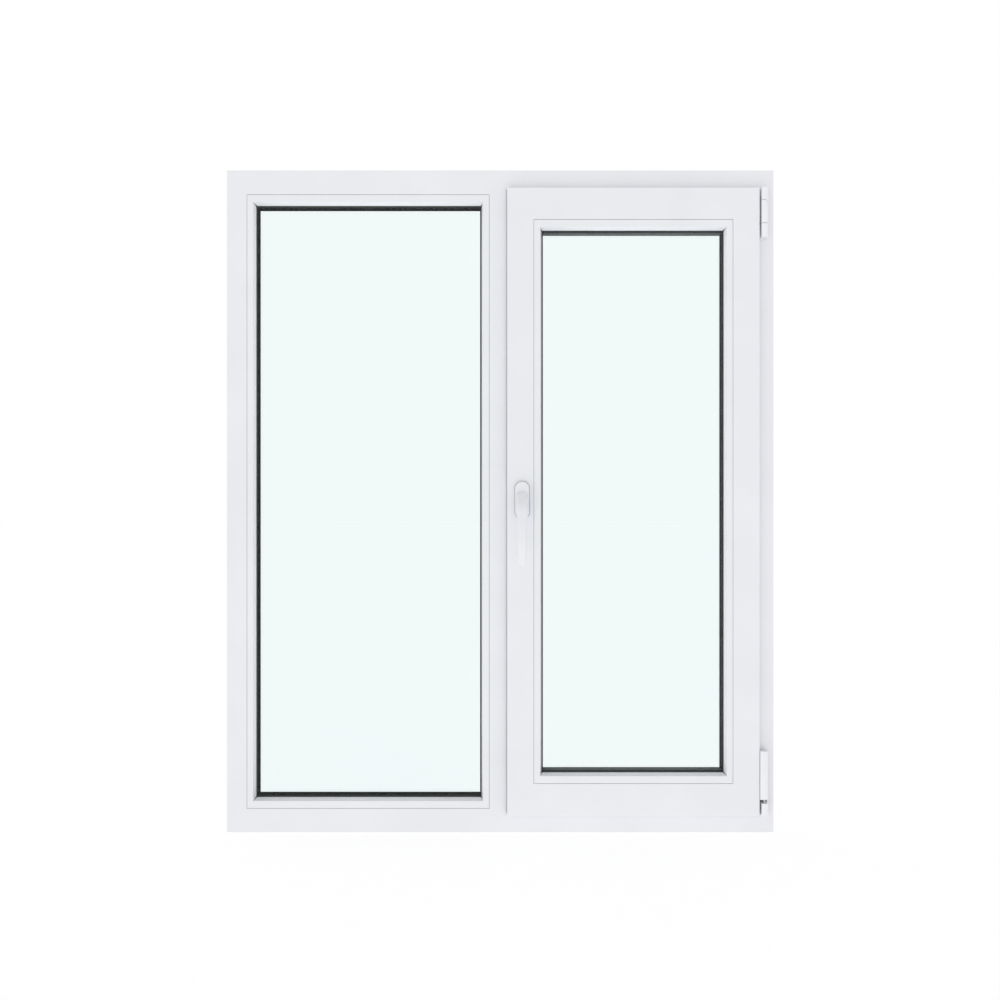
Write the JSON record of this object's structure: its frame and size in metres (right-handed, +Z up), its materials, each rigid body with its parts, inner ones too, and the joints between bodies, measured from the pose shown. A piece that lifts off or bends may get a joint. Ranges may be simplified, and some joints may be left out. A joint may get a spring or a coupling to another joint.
{
  "type": "pvc window",
  "caption": "White PVC window: a fixed light beside a tilt-and-turn sash, stepped frame profiles, clipped glazing beads, black gaskets, sealed glass units, lever handle and capped hinges.",
  "frame": {"origin": "middle of the frame's underside, where the sill sits on the wall opening", "axes": "+X to the right seen from the room, +Y from the room to the outside, +Z up"},
  "size_m": [1.09, 0.1567, 1.32],
  "materials": {
    "pvc_white": "satin white extruded PVC",
    "gasket_rubber": "black glazing gasket",
    "glass": "clear float glass, faintly green",
    "spacer": "black warm-edge spacer",
    "handle_white": "white powder coat",
    "hinge_cover_white": "white moulded cover",
    "hardware_steel": "zinc-plated steel"
  },
  "bodies": {
    "window": {"bottom_hinge_arm": "hardware_steel", "bottom_hinge_band": "hinge_cover_white", "bottom_hinge_bearing": "hinge_cover_white", "bottom_hinge_leaf": "hardware_steel", "bottom_hinge_pin": "hardware_steel", "drain_caps": "pvc_white", "fixed_light_bottom_bead": "pvc_white", "fixed_light_inner_gasket": "gasket_rubber", "fixed_light_inner_pane": "glass", "fixed_light_left_bead": "pvc_white", "fixed_light_outer_gasket": "gasket_rubber", "fixed_light_outer_pane": "glass", "fixed_light_right_bead": "pvc_white", "fixed_light_spacer": "spacer", "fixed_light_top_bead": "pvc_white", "frame_head": "pvc_white", "frame_left_jamb": "pvc_white", "frame_right_jamb": "pvc_white", "frame_sill": "pvc_white", "handle_pad": "gasket_rubber", "handle_rosette": "handle_white", "mullion": "pvc_white", "sash_bottom_bead": "pvc_white", "sash_bottom_rail": "pvc_white", "sash_hinge_stile": "pvc_white", "sash_inner_gasket": "gasket_rubber", "sash_inner_pane": "glass", "sash_left_bead": "pvc_white", "sash_lock_stile": "pvc_white", "sash_outer_gasket": "gasket_rubber", "sash_outer_pane": "glass", "sash_overlap_seal": "gasket_rubber", "sash_right_bead": "pvc_white", "sash_spacer": "spacer", "sash_stop_seal": "gasket_rubber", "sash_top_bead": "pvc_white", "sash_top_rail": "pvc_white", "top_hinge_arm": "hardware_steel", "top_hinge_leaf": "hardware_steel", "top_hinge_lower_knuckle": "hinge_cover_white", "top_hinge_pin": "hardware_steel", "top_hinge_sash_knuckle": "hinge_cover_white", "top_hinge_upper_knuckle": "hinge_cover_white"},
    "handle": {"handle_lever": "handle_white", "handle_spindle": "hardware_steel"}
  },
  "joints": [
    {"name": "handle_turn", "type": "hinge", "parent": "window", "child": "handle", "pos_m": [0.0435, -0.0515, 0.663], "axis": [0, -1, 0], "range_deg": [0, 180]}
  ]
}
